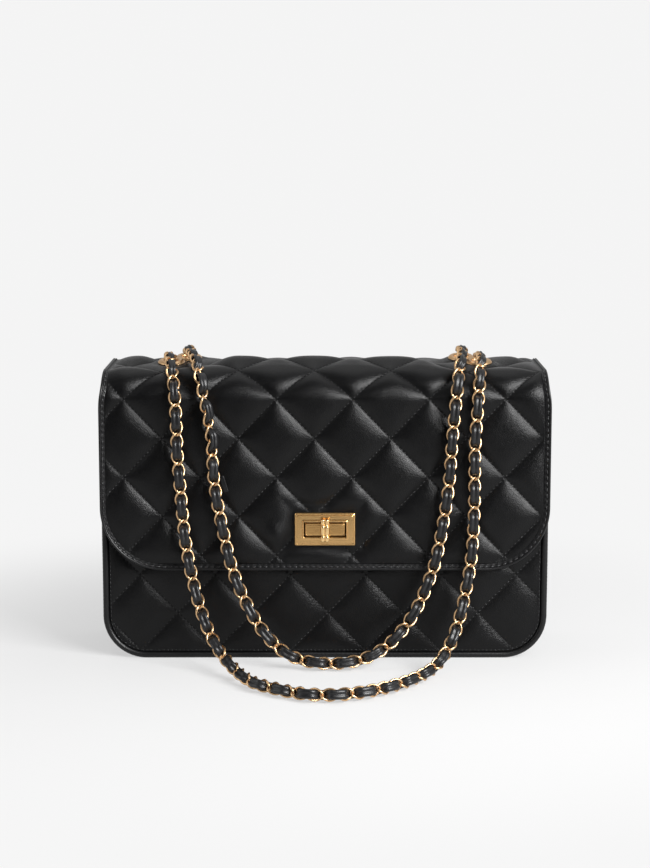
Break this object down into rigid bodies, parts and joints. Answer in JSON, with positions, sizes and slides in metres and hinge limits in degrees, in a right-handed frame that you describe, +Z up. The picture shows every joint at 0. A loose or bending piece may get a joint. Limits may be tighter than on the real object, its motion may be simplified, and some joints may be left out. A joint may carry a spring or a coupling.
{
  "type": "chain shoulder bag",
  "caption": "Quilted flap shoulder bag with a turn lock, an opening flap and a doubled chain strap woven with a leather lace.",
  "frame": {"origin": "on the floor, under the middle of the body's base", "axes": "+Z up, +X to the right as seen from the front, the front with the flap and lock faces -Y"},
  "size_m": [0.296, 0.1906, 0.2082],
  "materials": {
    "quilted_leather": "smooth, semi-gloss, quilted",
    "smooth_leather": "smooth, semi-gloss",
    "flap_lining_leather": "smooth, matt",
    "lace_leather": "smooth, semi-gloss",
    "lining_cloth": "fine woven",
    "wadding": "soft fleece",
    "fibreboard": "pressed board",
    "chain_gold": "polished, light gold",
    "lock_gold": "satin, antique gold",
    "plain_steel": "plated, plain"
  },
  "bodies": {
    "root": {"front_panel": "quilted_leather", "front_wadding": "wadding", "back_panel": "quilted_leather", "back_wadding": "wadding", "gusset": "smooth_leather", "front_piping": "smooth_leather", "back_piping": "smooth_leather", "base_board": "fibreboard", "body_lining": "lining_cloth", "mouth_facing": "smooth_leather", "inner_pocket": "lining_cloth", "lock_base": "lock_gold", "lock_backing_plate": "plain_steel"},
    "turn_knob": {"turn_bar": "lock_gold", "turn_stem": "plain_steel", "turn_washer": "plain_steel", "turn_clip": "plain_steel"},
    "flap": {"flap_leather": "quilted_leather", "flap_wadding": "wadding", "flap_board": "fibreboard", "flap_lining": "flap_lining_leather", "flap_binding": "smooth_leather", "lock_frame": "lock_gold", "lock_frame_back_plate": "plain_steel", "lock_screws": "plain_steel", "eyelet_front_left": "chain_gold", "eyelet_front_right": "chain_gold", "eyelet_back_left": "chain_gold", "eyelet_back_right": "chain_gold", "eyelet_washers": "plain_steel", "inside_chain_left": "chain_gold", "inside_chain_right": "chain_gold", "inside_lace_left": "lace_leather", "inside_lace_right": "lace_leather"},
    "outer_strap": {"outer_strap_chain": "chain_gold", "outer_strap_lace": "lace_leather"},
    "inner_strap": {"inner_strap_chain": "chain_gold", "inner_strap_lace": "lace_leather", "lace_end_tab": "lace_leather"}
  },
  "joints": [
    {"name": "flap_hinge", "type": "hinge", "parent": "root", "child": "flap", "pos_m": [0, 0.0403, 0.18015], "axis": [-1, 0, 0], "range_deg": [0, 120]},
    {"name": "lock_turn", "type": "hinge", "parent": "root", "child": "turn_knob", "pos_m": [0, -0.05, 0.09], "axis": [0, 1, 0], "range_deg": [0, 90]},
    {"name": "outer_strap_swing", "type": "hinge", "parent": "flap", "child": "outer_strap", "pos_m": [0, -0.005, 0.2], "axis": [-1, 0, 0], "range_deg": [0, 160]},
    {"name": "inner_strap_swing", "type": "hinge", "parent": "flap", "child": "inner_strap", "pos_m": [0, 0.02, 0.2], "axis": [-1, 0, 0], "range_deg": [0, 160]}
  ]
}
